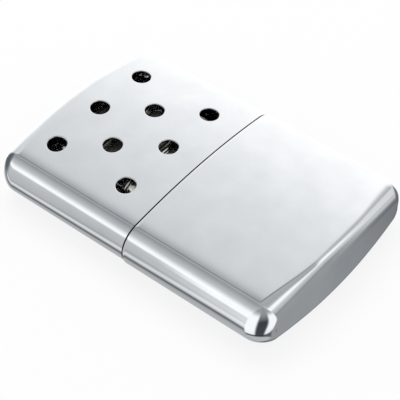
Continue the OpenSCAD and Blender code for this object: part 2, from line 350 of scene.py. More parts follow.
def markHoleShade(mesh, holes):
    # Writes painted shade on the vent holes' shaded walls as an attribute: 1 up to its reach past
    # a hole's radius, measured along the crown, and 0 a little further out.
    spot = np.zeros(len(mesh.vertices) * 3)
    mesh.vertices.foreach_get("co", spot)
    x, y, z = spot.reshape(-1, 3).T / mm
    along = np.arctan2(x, z - midZ + crownRadius - halfThick) * crownRadius
    away = np.min([np.hypot(along - centre, y - row) for centre, row in holes], axis=0)
    past = away - lidForm["holeDiameter"] / 2
    # painted shade over the holes' cut walls, on the upper crown only
    soot = np.clip((case["holeShade"] + 0.04 - past) / 0.08, 0, 1) * (z > midZ)
    mesh.attributes.new("soot", "FLOAT", "POINT").data.foreach_set("value", soot)


def buildLid():
    # A drawn cup. Its sheet leaves out a square round each vent, and the hole's rings fill it.
    print("lid shell")
    half = {"way": 1, "inset": lidInset, "open": lidLow[1], "end": lidHigh[1], "cornerEase": 0.8}
    cellTurn = math.asin(lidForm["pitchX"] / crownRadius) / 4
    steps = lidForm["cellSteps"]
    acrossHoles = np.linspace(5, -5, 5 * steps + 1) * cellTurn
    rest = np.linspace(lean, 5 * cellTurn, lidForm["crownRest"] + 1)[:-1]
    turns = ovalTurns(np.concatenate([rest, acrossHoles, -rest[::-1]]))
    firstHole = case["sideSteps"] // 2 + lidForm["crownRest"]
    cellHalf = lidForm["pitchX"] / 4
    rowY = [half["end"] - lidForm["fromEnd"] - i * lidForm["pitchY"] for i in range(3)]
    half["lastLine"] = rowY[0] + cellHalf
    edges = sorted([y - cellHalf for y in rowY] + [y + cellHalf for y in rowY])
    counts = [12, steps, 5, steps, 5, steps]
    stations = [np.array([half["open"]])]
    for begin, end, count in zip([half["open"]] + edges, edges, counts):
        stations.append(np.linspace(begin, end, count + 1)[1:])
    stations = np.concatenate(stations + [endStations(half)])
    pointAt = lambda t, v, depth: skinPoint(half, t, v, depth)
    rowStart = {2: counts[0], 1: counts[0] + steps + 5, 0: counts[0] + 2 * (steps + 5)}
    keep = np.ones((len(stations) - 1, len(turns)), bool)
    patches, holes = [], []
    for row, count in enumerate(lidForm["rows"]):
        for i in range(count):
            x = (i - (count - 1) / 2) * lidForm["pitchX"]
            middleLine = firstHole + int(round((5 - x / cellHalf) * steps / 2))
            keep[rowStart[row]:rowStart[row] + steps, middleLine - steps // 2:middleLine + steps // 2] = False
            t0 = x / cellHalf * cellTurn
            holes.append((math.asin(x / crownRadius) * crownRadius, rowY[row]))
            cell = (t0 - cellTurn, t0 + cellTurn, rowY[row] - cellHalf, rowY[row] + cellHalf)
            patches.append(holeGrid(
                pointAt, cell, (math.asin(x / crownRadius), rowY[row]), crownRadius, 0,
                lidForm["holeDiameter"] / 2, math.pi / 4, (steps, steps),
                (lidForm["holeEdge"], lidForm["innerEdge"]), sheet))
    edge, inner = case["openEdge"], lidForm["innerEdge"]
    away, depth, tilt = roundedEdge(edge, inner, sheet)
    cut = half["open"] + away
    endFace = bowedEnd(half)
    for level, firstLine, turnOver in ((0, cut[0], 0), (sheet, cut[-1], math.pi)):
        lines = stations.copy()
        lines[0] = firstLine
        patches.append(sheetGrid(pointAt, turns[None, :], lines[:, None], level, turnOver,
                                 keep=keep, endFace=endFace))
    patches.append(sheetGrid(pointAt, turns[None, :], cut[:, None], depth[:, None], tilt[:, None], 0, 1))
    mesh = makeMesh("lidShell", patches)
    markHoleShade(mesh, holes)
    return mesh


# The tank

def buildTank():
    # A drawn cup whose rim curls in along a quarter of an ellipse and turns back into its bore.
    print("tank shell")
    half = {"way": -1, "inset": 0.0, "open": -tankHigh[1] + case["rimBack"], "end": -tankLow[1],
            "cornerEase": 1.8}
    half["lastLine"] = half["end"] - 2 * case["corner"]
    turns = ovalTurns(np.linspace(lean, -lean, case["crownSteps"] + 1))
    rimEnd = half["open"] + case["rimLength"]
    lines = np.concatenate([np.linspace(rimEnd, half["lastLine"], 24), endStations(half)])
    pointAt = lambda t, v, depth: skinPoint(half, t, v, depth)
    endFace = bowedEnd(half)
    inner = lidForm["innerEdge"]
    curl = np.linspace(0, math.pi / 2, 12)
    curlDepth = case["rimIn"] * (1 - np.sin(curl))
    curlAway = case["rimLength"] * (1 - np.cos(curl))
    curlTilt = np.arctan2(case["rimIn"] * np.cos(curl), case["rimLength"] * np.sin(curl))
    turn = np.linspace(0, math.pi / 2, 5)
    away = np.concatenate([curlAway[::-1], inner * (1 - np.cos(turn))])
    depth = np.concatenate([curlDepth[::-1], sheet - inner * (1 - np.sin(turn))])
    tilt = np.concatenate([curlTilt[::-1], math.pi / 2 + turn])
    bore = np.concatenate([[half["open"] + inner], lines])
    patches = [
        sheetGrid(pointAt, turns[None, :], lines[:, None], 0, 0, endFace=endFace),
        sheetGrid(pointAt, turns[None, :], bore[:, None], sheet, math.pi, endFace=endFace),
        sheetGrid(pointAt, turns[None, :], (half["open"] + away)[:, None], depth[:, None],
                  tilt[:, None], 0, 1)]
    return makeMesh("tankShell", patches)


# Profiles carried round an oblong or round the case's section

def filletPath(corners, closed=True, steps=5):
    # A path through (distance out, height, radius) corners with each corner rounded by a tangent
    # arc. Returns the points and their normals, to the right of the walk.
    spot = np.array([c[:2] for c in corners], float)
    count = len(spot)
    points, normals = [], []
    for i, (r, y, radius) in enumerate(corners):
        here = spot[i]
        if not closed and i in (0, count - 1):
            step = unit(spot[1] - spot[0] if i == 0 else spot[-1] - spot[-2])
            points.append(here)
            normals.append(np.array([step[1], -step[0]]))
            continue
        arriving, leaving = unit(here - spot[i - 1]), unit(spot[(i + 1) % count] - here)
        swing = math.atan2(arriving[0] * leaving[1] - arriving[1] * leaving[0], arriving @ leaving)
        side = np.array([arriving[1], -arriving[0]])
        centre = here - arriving * radius * math.tan(abs(swing) / 2) - side * radius * np.sign(swing)
        for turned in np.linspace(0, swing, steps):
            normal = np.array([side[0] * math.cos(turned) - side[1] * math.sin(turned),
                               side[0] * math.sin(turned) + side[1] * math.cos(turned)])
            points.append(centre + normal * radius * np.sign(swing))
            normals.append(normal)
    if closed:
        points.append(points[0])
        normals.append(normals[0])
    return np.array(points), np.array(normals)


def oblongSweep(path, core, steps=(28, 24)):
    # Carries a path of (distance out, height) round an oblong whose core line is core long.
    points, normals = path
    middle, cosines, sines = oblongRing(core, 1, math.pi / 2, *steps)
    out, height = points[:, :1], points[:, 1:]
    flat = np.ones_like(middle)
    spot = np.stack([middle + out * cosines, height * flat, midZ + out * sines], axis=-1)
    facing = np.stack([normals[:, :1] * cosines, normals[:, 1:] * flat, normals[:, :1] * sines], axis=-1)
    return spot, facing, True, None


def ovalSweep(path, turns):
    # Carries a path of (inset, height) round the case's section.
    points, normals = path
    x, z = ovalPoint(turns[None, :], points[:, :1])
    flat = np.ones_like(x)
    spot = np.stack([x, points[:, 1:] * flat, midZ + z], axis=-1)
    facing = np.stack([-normals[:, :1] * np.sin(turns), normals[:, 1:] * flat,
                       -normals[:, :1] * np.cos(turns)], axis=-1)
    return spot, facing, True, None


topForm = {"sheet": 0.5, "edge": 1.6, "joggle": 1.2, "collarGap": 0.15, "clearance": 0.01,
           "seatDepth": 1.5, "plateIn": 3}  # below the parting line, and in from the collar
neckForm = {"wall": 0.5, "flange": 0.8, "flangeThickness": 0.6, "lip": 0.18}
burnerForm = {"sheet": 0.5, "headIn": 0.8, "ledge": 0.9, "bead": 0.9, "headEdge": 1.2, "lip": 0.6,
              "slots": 4, "bar": 1.6, "fit": 0.01, "cutEdge": 0.12, "innerEdge": 0.05,
              "beadFoot": 0.95, "beadFlat": 0.6, "beadRound": 0.55}
burnerCore = (headHigh[0] - headLow[0]) - (headHigh[2] - headLow[2])
headRadius = (headHigh[2] - headLow[2]) / 2
skirtRadius = headRadius + burnerForm["headIn"]
holdRadius = headRadius - burnerForm["sheet"] - burnerForm["fit"]
slotPitch = (headHigh[1] - headLow[1] - burnerForm["bar"]) / burnerForm["slots"]
slotLength = slotPitch - burnerForm["bar"]


def buildTop():
    # Skirt, joggle and collar are one profile round the section. The plate is rings between the
    # collar's oval and the neck's oblong, at even steps on straight lines.
    print("tank top")
    wall, edge = topForm["sheet"], topForm["edge"]
    skirtIn = sheet + topForm["clearance"]
    collarIn = lidInset + sheet + topForm["collarGap"]
    foot, plate = topLow[1], topHigh[1]
    seat = tankHigh[1] - topForm["seatDepth"] - topForm["joggle"]
    collar = seat + topForm["joggle"]
    turns = ovalTurns(np.linspace(lean, -lean, 25))
    # insets grow inwards, so the walk goes down the outside and up the inside
    plateIn = collarIn + topForm["plateIn"]
    outer = filletPath([(plateIn, plate, 0), (collarIn, plate, edge), (collarIn, collar, 0.5),
                        (skirtIn, seat, 0.5), (skirtIn, foot, 0.1),
                        (skirtIn + wall, foot, 0.1), (skirtIn + wall, seat, 0.4),
                        (collarIn + wall, collar, 0.4), (collarIn + wall, plate - wall, edge - wall),
                        (plateIn, plate - wall, 0)], closed=False, steps=7)
    patches = [ovalSweep(outer, turns)]
    ringX, ringZ = ovalPoint(turns, plateIn)
    core = burnerCore
    gap = (neckHigh[2] - neckLow[2]) / 2 - neckForm["flange"]
    # the plate between the collar's bend and the neck: rings that turn from the oval to the oblong
    endX = core / 2 * np.clip(ringX / (core / 2) * 1.6, -1, 1)
    awayX, awayZ = ringX - endX, ringZ
    size = np.hypot(awayX, awayZ)
    holeX, holeZ = endX + awayX / size * gap, awayZ / size * gap
    towards = np.linspace(0, 1, 8)[:, None]
    x, z = ringX + (holeX - ringX) * towards, ringZ + (holeZ - ringZ) * towards
    for height, way in ((plate, 1), (plate - wall, -1)):
        spot = np.stack([x, np.full_like(x, height), midZ + z], axis=-1)
        patches.append((spot, np.broadcast_to([0.0, way, 0.0], spot.shape), True, None))
    bore = np.stack([np.broadcast_to(holeX, (2, len(holeX))),
                     np.broadcast_to([[plate], [plate - wall]], (2, len(holeX))),
                     np.broadcast_to(midZ + holeZ, (2, len(holeX)))], axis=-1)
    inwards = np.stack([-awayX / size, np.zeros_like(size), -awayZ / size], axis=-1)
    patches.append((bore, np.broadcast_to(inwards, bore.shape), True, None))
    return makeMesh("tankTop", patches)


def buildNeck():
    # A tube with a flange under the plate: one closed profile round the oblong.
    print("filler neck")
    wall, lip = neckForm["wall"], neckForm["lip"]
    under, plate, mouth = neckLow[1], topHigh[1], neckHigh[1]
    out = (neckHigh[2] - neckLow[2]) / 2 - neckForm["flange"]
    path = filletPath([(out - wall, under, 0.1), (out + neckForm["flange"], under, 0.1),
                       (out + neckForm["flange"], under + neckForm["flangeThickness"], 0.1),
                       (out, under + neckForm["flangeThickness"], 0.1),
                       (out, mouth, lip), (out - wall, mouth, lip)])
    return makeMesh("fillerNeck", [oblongSweep(path, burnerCore)])


def buildSkirt():
    # A tube with a bead pressed out near its top, a shoulder and a ledge, round the oblong.
    print("burner skirt")
    wall, low, high = burnerForm["sheet"], skirtLow[1], skirtHigh[1]
    out, inner = skirtRadius, skirtRadius - wall
    beadY = high - wall - burnerForm["bead"]
    beadOut = inner + wall / 2 + burnerForm["bead"]
    foot, flat, bend = burnerForm["beadFoot"], burnerForm["beadFlat"], burnerForm["beadRound"]
    path = filletPath([(inner, low, 0.08), (out, low, 0.2), (out, beadY - foot, 0.3),
                       (beadOut, beadY - flat, bend), (beadOut, beadY + flat, bend),
                       (out, beadY + foot, 0.12), (out, high, burnerForm["headIn"] * 0.6),
                       (holdRadius - burnerForm["ledge"], high, 0.1),
                       (holdRadius - burnerForm["ledge"], high - wall, 0.1), (inner, high - wall, 0.3)])
    return makeMesh("burnerSkirt", [oblongSweep(path, burnerCore)])


# The slotted head: a sheet whose station is the way round the oblong and the way up

def headPoint(u, v, depth):
    # u goes round the oblong in millimetres from the middle of the right end. v is the height up
    # to the turned edge, then one unit round that edge and one across the lip.
    form, core = burnerForm, burnerCore
    height = headHigh[1] - headLow[1]
    edge = form["headEdge"]
    quarter = math.pi / 2 * headRadius
    total = 2 * core + 4 * quarter
    u = np.mod(u, total)
    top, low = np.clip(u - quarter, 0, core), np.clip(u - 3 * quarter - core, 0, core)
    turned = (u - top - low) / headRadius
    turn = np.clip(v - (height - edge), 0, 1) * math.pi / 2
    across = np.clip(v - (height - edge) - 1, 0, 1) * form["lip"]
    out = headRadius - edge + (edge - depth) * np.cos(turn) - across
    y = headLow[1] + np.minimum(v, height - edge) + (edge - depth) * np.sin(turn)
    return np.stack([core / 2 - top + low + out * np.cos(turned), y, midZ + out * np.sin(turned)], axis=-1)


def buildHead():
    # The cage's sheet leaves out a cell for each slot on both wide faces, and the rings of an
    # oblong hole fill it. Slots and bars repeat at the slot pitch.
    print("burner head")
    form, core = burnerForm, burnerCore
    height = headHigh[1] - headLow[1]
    straightUp = height - form["headEdge"]
    quarter = math.pi / 2 * headRadius
    margin, longSteps, shortSteps = 1.2, 36, 12
    aroundEnd = np.linspace(0, 2 * quarter - 2 * margin, 25)
    topStart = quarter - margin
    aroundTop = np.linspace(0, core + 2 * margin, longSteps + 1)
    lines = np.concatenate([topStart + aroundTop[:-1], topStart + core + 2 * margin + aroundEnd[:-1],
                            topStart + core + 2 * quarter + aroundTop[:-1],
                            topStart + 2 * core + 2 * quarter + 2 * margin + aroundEnd[:-1]])
    cells, stations, starts = [], [0.0], []
    for i in range(form["slots"]):
        begin = form["bar"] / 2 + slotPitch * i
        end = min(begin + slotPitch, straightUp - 0.1)
        if i == 0:
            stations.append(begin)
        starts.append(len(stations) - 1)
        stations += list(np.linspace(begin, end, shortSteps + 1)[1:])
        cells.append((begin, end, form["bar"] + slotPitch * i + slotLength / 2))
    stations = np.array(stations + list(straightUp + np.linspace(0, 1, 9)) + [straightUp + 2.0])
    keep = np.ones((len(stations) - 1, len(lines)), bool)
    wall, radius = form["sheet"], slotLength / 2
    patches = []
    for (begin, end, centre), start in zip(cells, starts):
        for firstLine, left in ((0, topStart), (longSteps + 24, topStart + core + 2 * quarter)):
            keep[start:start + shortSteps, firstLine:firstLine + longSteps] = False
            patches.append(holeGrid(
                headPoint, (left, left + core + 2 * margin, begin, end),
                (left + margin + core / 2, centre), 1, core - 2 * radius, radius, math.pi / 2,
                (shortSteps, longSteps), (form["cutEdge"], form["innerEdge"]), wall))
    away, depth, tilt = roundedEdge(form["cutEdge"], form["innerEdge"], wall)
    lipEnd = straightUp + 2 - away / form["lip"]
    for level, first, last, over in ((0, away[0], lipEnd[0], 0), (wall, away[-1], lipEnd[-1], math.pi)):
        rows = stations.copy()
        rows[0], rows[-1] = first, last
        patches.append(sheetGrid(headPoint, lines[None, :], rows[:, None], level, over, keep=keep))
    for rows, way in ((away, 1), (lipEnd, -1)):
        patches.append(sheetGrid(headPoint, lines[None, :], rows[:, None], depth[:, None],
                                 tilt[:, None], 0, way))
    return makeMesh("burnerHead", patches)


def crispCopy(node, name):
    # A copy of a CAD node's mesh with its points merged and its flats joined.
    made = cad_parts[node].data.copy()
    made.name = name
    work = bmesh.new()
    work.from_mesh(made)
    bmesh.ops.remove_doubles(work, verts=work.verts, dist=0.002 * mm)
    bmesh.ops.dissolve_limit(work, angle_limit=math.radians(1), verts=work.verts, edges=work.edges)
    work.to_mesh(made)
    work.free()
    made.shade_smooth()
    return made


def easeEdges(piece, width):
    # Bevels the sharp edges of a stamped plate.
    bevel = piece.modifiers.new("easedEdges", "BEVEL")
    bevel.width = width * mm
    bevel.segments = 2
    bevel.limit_method = "ANGLE"
    bevel.angle_limit = math.radians(35)
    bevel.harden_normals = True


# Soft pieces

def wavyNoise(points, size, seed, octaves=4):
    # Smooth noise of about -1 to 1: sums of sine waves in random directions, each finer and weaker.
    random = np.random.default_rng(seed)
    total = np.zeros(points.shape[:-1])
    weight = 0.0
    for octave in range(octaves):
        for wave in range(6):
            direction = unit(random.normal(size=3)) * (2 * math.pi / size * 1.9 ** octave)
            total += np.sin(points @ direction + random.uniform(0, 2 * math.pi)) * 0.62 ** octave
        weight += 6 * 0.62 ** octave
    return total / weight * 2.2


def lumpy(points, normals, size, height, seed):
    # Moves points along their normals by smooth noise, only inwards, and reads the new normals.
    share = 0.5 + 0.5 * np.clip(wavyNoise(points, size, seed), -1, 1)
    moved = points - normals * (height * share)[..., None]
    around = np.roll(moved, -1, axis=1) - np.roll(moved, 1, axis=1)
    along = np.gradient(moved, axis=0)
    turned = np.cross(around, along)
    turned *= np.sign((turned * normals).sum(-1, keepdims=True))
    steady = np.linalg.norm(turned, axis=-1, keepdims=True) > 1e-9
    return moved, unit(np.where(steady, unit(turned), normals))


def pad(boxLow, boxHigh, form, steps=(64, 110)):
    # A closed oblong block of fibre: its side, its rounded edges and both ends, made lumpy.
    low, high, out, edge = boxLow[1], boxHigh[1], (boxHigh[2] - boxLow[2]) / 2, form["edge"]
    points, normals = filletPath([(0.0, low, 0), (out, low, edge), (out, high, edge), (0.0, high, 0)],
                                 closed=False, steps=7)
    spots, facings = [points[0]], [normals[0]]
    for i in range(1, len(points)):
        length = np.linalg.norm(points[i] - points[i - 1])
        count = max(1, int(length / 0.3))
        for step in range(1, count + 1):
            spots.append(points[i - 1] + (points[i] - points[i - 1]) * step / count)
            facings.append(unit(normals[i - 1] + (normals[i] - normals[i - 1]) * step / count))
    spot, facing, wrap, keep = oblongSweep((np.array(spots), np.array(facings)), burnerCore, steps)
    moved, turned = lumpy(spot, facing, form["lumpSize"], form["lumpHeight"], form["seed"])
    return moved, turned, True, None


wickForm = {"edge": 0.4, "seed": 9, "lumpSize": 1.8, "lumpHeight": 0.15}
matForm = {"edge": 0.9, "seed": 5, "lumpSize": 2.6, "lumpHeight": 0.35, "swell": 0.62, "swellEnd": 2.5,
           "footTop": 2.2, "footIn": 0.16}


def buildMat():
    # The mat bulges through the slots between the bars, and its foot sits in the tray.
    print("catalyst mat")
    form = matForm
    spot, facing, wrap, keep = pad(matLow, matHigh, form)
    # within a slot the mat swells outwards, most in the middle of the slot
    up = (spot[..., 1] - headLow[1] - burnerForm["bar"] / 2) / slotPitch
    inSlot = np.clip(np.cos((up % 1 - 0.5) * math.pi * 1.25), 0, 1) * (up > 0) * (up < burnerForm["slots"])
    flat = np.clip((burnerCore / 2 - np.abs(spot[..., 0])) / form["swellEnd"], 0, 1)
    swell = form["swell"] * inSlot * flat * np.abs(facing[..., 2])
    spot = spot + np.sign(facing[..., 2:]) * swell[..., None] * np.array([0.0, 0.0, 1.0])
    foot = np.clip((headLow[1] + form["footTop"] - spot[..., 1]) / 0.3, 0, 1)[..., None]
    middle = np.stack([np.clip(spot[..., 0], -burnerCore / 2, burnerCore / 2), spot[..., 1],
                       np.full(spot.shape[:-1], midZ)], axis=-1)
    spot = middle + (spot - middle) * (1 - foot * form["footIn"])
    return makeMesh("catalystMat", [(spot, facing, wrap, keep)])


fibreForm = {
    "count": 1500, "radius": 0.035, "length": (1.4, 3.6), "bend": 0.9, "steps": 9, "sides": 3,
    "fromEnds": 2.2, "fromSides": 1.2, "fromBars": 0.15,  # how far strands keep from the slot's edges
    "sunk": 0.22, "crown": 0.5, "rise": (-0.12, 0.16),    # below the mat's side, its swell, and off it
}


def buildFibres():
    # Loose glass fibres on the mat where the slots show it: thin curved strands of three sides.
    print("glass fibres")
    random = np.random.default_rng(11)
    form, count = fibreForm, fibreForm["count"]
    slot = random.integers(0, burnerForm["slots"], count)
    side = random.choice([-1.0, 1.0], count)
    x = random.uniform(-1, 1, count) * (burnerCore / 2 - form["fromEnds"])
    y = headLow[1] + burnerForm["bar"] + slotPitch * slot + random.uniform(0.12, 0.88, count) * slotLength
    heading = random.uniform(0, 2 * math.pi, count)
    bend = random.normal(0, form["bend"], count)
    length = random.uniform(*form["length"], count)
    radius = (matHigh[2] - matLow[2]) / 2
    along = np.linspace(-0.5, 0.5, form["steps"])[None, :]
    angle = heading[:, None] + bend[:, None] * along
    pathX = x[:, None] + np.cumsum(np.cos(angle), axis=1) * length[:, None] / form["steps"] * 0.7
    stretchY = np.cumsum(np.sin(angle), axis=1) * length[:, None] / form["steps"] * 0.7
    slotLow = headLow[1] + burnerForm["bar"] + slotPitch * slot[:, None] + form["fromBars"]
    slotHigh = slotLow + slotLength - 2 * form["fromBars"]
    pathY = np.clip(y[:, None] + stretchY, slotLow, slotHigh)
    crown = np.cos((pathY - (slotLow + slotHigh) / 2) / (slotHigh - slotLow) * math.pi * 0.9)
    endX = burnerCore / 2 - form["fromSides"]
    pathX = np.clip(pathX, -endX, endX)
    rise = random.uniform(*form["rise"], count)[:, None] * np.cos(along * math.pi)
    out = radius - form["sunk"] + form["crown"] * np.clip(crown, 0, 1) + rise
    path = np.stack([pathX, pathY, midZ + side[:, None] * out], axis=-1)
    thick = form["radius"] * np.cos(along * math.pi * 0.9)
    tangent = unit(np.gradient(path, axis=1))
    across = unit(np.cross(tangent, [0.0, 0.0, 1.0]))
    above = np.cross(across, tangent)
    turn = np.arange(form["sides"]) * 2 * math.pi / form["sides"]
    facing = across[:, :, None] * np.cos(turn)[:, None] + above[:, :, None] * np.sin(turn)[:, None]
    spot = path[:, :, None] + facing * thick[..., None, None]
    strands, steps, sides = spot.shape[:3]
    quads = gridFaces(steps, sides, True)
    quads = (quads[None] + np.arange(strands)[:, None, None] * steps * sides).reshape(-1, 4)
    ends = np.arange(strands)[:, None] * steps * sides
    caps = np.concatenate([ends + [2, 1, 0], ends + (steps - 1) * sides + [0, 1, 2]])
    starts = [np.arange(0, quads.size, 4), quads.size + np.arange(0, caps.size, 3)]
    mesh = newMesh("matFibres", spot.reshape(-1, 3), np.concatenate([quads.ravel(), caps.ravel()]),
                   np.concatenate(starts))
    mesh.validate()
    mesh.shade_smooth()
    return mesh


cottonForm = {
    "slack": 0.65, "skirtSlack": 0.75, "skirtFrom": 0.72,  # further in where the top's skirt reaches down
    "footShare": 0.14, "footRound": 5.2, "footBow": 1.9,   # how it rounds into the closed end
    "topFrom": 0.94, "topRound": 1.6, "seed": 3, "lumpSize": 7, "lumpHeight": 0.7,
}


def buildCotton():
    # Packed cotton that fills the tank: the section at growing insets towards both ends, lumpy.
    print("cotton packing")
    form, low, high = cottonForm, cottonLow[1], cottonHigh[1]
    foot, skirt, top = form["footShare"], form["skirtFrom"], form["topFrom"]
    turns = ovalTurns(np.linspace(lean, -lean, 49))
    along = np.concatenate([np.linspace(0, 1, 12)[:-1] ** 2 * foot, np.linspace(foot, skirt, 40),
                            np.linspace(skirt, 1, 30)[1:]])[:, None]
    ends = np.sqrt(np.clip(1 - ((foot - along) / foot) ** 2, 0, 1)) * (along < foot) + (along >= foot)
    inset = form["slack"] + form["skirtSlack"] * np.clip((along - skirt) / 0.05, 0, 1)
    inset = inset + form["footRound"] * (1 - ends)
    inset = inset + form["topRound"] * np.clip((along - top) / (1 - top), 0, 1) ** 2
    x, z = ovalPoint(turns[None, :], inset)
    closing = np.concatenate([np.linspace(0, 1, 8)[:-1], np.ones(len(along)), np.linspace(1, 0, 8)[1:]])
    x, z = [np.concatenate([a[:1].repeat(7, 0), a, a[-1:].repeat(7, 0)]) for a in (x, z)]
    y = low + (high - low) * np.concatenate([np.zeros((7, 1)), along, np.ones((7, 1))])
    bow = form["footBow"] * (x / halfWidth) ** 2 * np.clip(1 - (y - low) / 6, 0, 1)
    spot = np.stack([x, y + bow, midZ + z * closing[:, None]], axis=-1)
    out = unit(spot - np.stack([x * 0.8, y + bow, np.full_like(x, midZ)], axis=-1))
    lengthways = np.sign(y - (low + high) / 2)[..., None] * [0.0, 1.0, 0.0]
    out = np.where((closing < 1)[:, None, None], lengthways, out)
    moved, turned = lumpy(spot, out, form["lumpSize"], form["lumpHeight"], form["seed"])
    return makeMesh("cottonPacking", [(moved, turned, True, None)])


# Finishes

def chromePlate():
    # Decorative chrome on drawn brass, buffed before plating: a cool mirror with a trace of haze,
    # hairlines from handling and a slow wave that the drawing leaves in the sheet.
    made, tree, shader, here = newMaterial("polishedChrome")
    haze = addNode(tree, "TexNoise", {"Scale": 1 / (9 * mm), "Detail": 3.0, "Vector": here})
    tint = addNode(tree, "ValToRGB", {"stops": [(0.3, "#ecedef"), (0.7, "#f4f5f6")], "Fac": haze})
    # painted shade in the parting line and on the vent holes' walls: the colour goes dark grey where the gap
    # and the holes lie in shade
    place = addNode(tree, "SeparateXYZ", {"Vector": here})
    partLow = tankHigh[1] - case["rimBack"] - case["soot"]
    partHigh = lidLow[1] + case["soot"]
    half, soft = (partHigh - partLow) / 2, 0.03
    aside = addNode(tree, "Math", {"operation": "SUBTRACT", 0: (place, "Y"),
                                   1: (partLow + partHigh) / 2 * mm})
    away = addNode(tree, "Math", {"operation": "ABSOLUTE", 0: aside})
    parting = addNode(tree, "MapRange", {"Value": away, "From Min": (half + soft) * mm,
                                         "From Max": (half - soft) * mm})
    walls = addNode(tree, "Attribute", {"attribute_name": "soot"})
    shadeMask = addNode(tree, "Math", {"operation": "MAXIMUM", 0: parting, 1: (walls, "Fac")})
    # painted shade: dark grey laid over the mirror's colour by the mask
    shadedTint = addNode(tree, "Mix", {"data_type": "RGBA", 0: shadeMask, 6: tint, 7: linear("#26282a")})
    stretch = addNode(tree, "Mapping", {"Scale": (1 / (0.35 * mm), 1 / (11 * mm), 1 / (0.35 * mm)),
                                        "Rotation": (0.1, 0.05, 0.5), "Vector": here})
    hairlines = addNode(tree, "TexNoise", {"Scale": 1.0, "Detail": 5.0, "Vector": stretch})
    rubbed = addNode(tree, "MapRange", {"Value": hairlines, "From Min": 0.62, "From Max": 0.8,
                                        "To Min": 0.0, "To Max": 0.05})
    cloudy = addNode(tree, "MapRange", {"Value": haze, "From Min": 0.35, "From Max": 0.75,
                                        "To Min": 0.055, "To Max": 0.085})
    rough = addNode(tree, "Math", {"operation": "ADD", 0: rubbed, 1: cloudy})
    wave = addNode(tree, "TexNoise", {"Scale": 1 / (16 * mm), "Detail": 1.0, "Vector": here})
    bump = addNode(tree, "Bump", {"Strength": 0.05, "Distance": 0.05 * mm, "Height": wave})
    setUp(tree, shader, {"Metallic": 1, "Base Color": (shadedTint, 2), "Roughness": rough, "Normal": bump})
    return made


def bareSheet(name, light, dark, roughness, grainWay, grain=0.25):
    # Nickel on pressed steel: a soft satin with rolling lines, handling marks and dull patches.
    made, tree, shader, here = newMaterial(name)
    scale = [1 / (grain * mm)] * 3
    scale[grainWay] = 1 / (14 * mm)
    stretch = addNode(tree, "Mapping", {"Scale": scale, "Vector": here})
    lines = addNode(tree, "TexNoise", {"Scale": 1.0, "Detail": 4.0, "Vector": stretch})
    patch = addNode(tree, "TexNoise", {"Scale": 1 / (6 * mm), "Detail": 5.0, "Vector": here})
    mixed = addNode(tree, "Math", {"operation": "MULTIPLY_ADD", 0: lines, 1: 0.5, 2: patch})
    tint = addNode(tree, "ValToRGB", {"stops": [(0.45, dark), (0.95, light)], "Fac": mixed})
    rough = addNode(tree, "MapRange", {"Value": mixed, "From Min": 0.4, "From Max": 1.0,
                                       "To Min": roughness + 0.12, "To Max": roughness - 0.06})
    bump = addNode(tree, "Bump", {"Strength": 0.3, "Distance": 0.01 * mm, "Height": lines})
    setUp(tree, shader, {"Metallic": 1, "Base Color": tint, "Roughness": rough, "Normal": bump})
    return made


def fibreMaterial(name, light, dark, thread, roughness=0.85, sheen=0.2):
    # Matted fibre: a tangle of fine threads that shows as light and dark flecks, with some sheen.
    made, tree, shader, here = newMaterial(name)
    tangle = addNode(tree, "TexVoronoi", {"feature": "DISTANCE_TO_EDGE", "Scale": 1 / (thread * 6 * mm),
                                          "Vector": here})
    cloud = addNode(tree, "TexNoise", {"Scale": 1 / (thread * 14 * mm), "Detail": 8.0, "Roughness": 0.7,
                                       "Vector": here})
    mixed = addNode(tree, "Math", {"operation": "MULTIPLY_ADD", 0: tangle, 1: 0.8, 2: cloud})
    tint = addNode(tree, "ValToRGB", {"stops": [(0.35, dark), (0.8, light)], "Fac": mixed})
    bump = addNode(tree, "Bump", {"Strength": 0.8, "Distance": thread * mm, "Height": mixed})
    setUp(tree, shader, {"Base Color": tint, "Roughness": roughness, "Sheen Weight": sheen, "Normal": bump})
    return made


# The studio that the polished case mirrors

def greyAt(value):
    # a grey as hex, a touch cooler than neutral, and more so where it is dark
    cool = min(4.5, max(1.5, (165 - value) * 0.15))
    return "#" + "".join(f"{int(round(max(0, min(255, value + c)))):02x}" for c in (-cool, 0, cool))


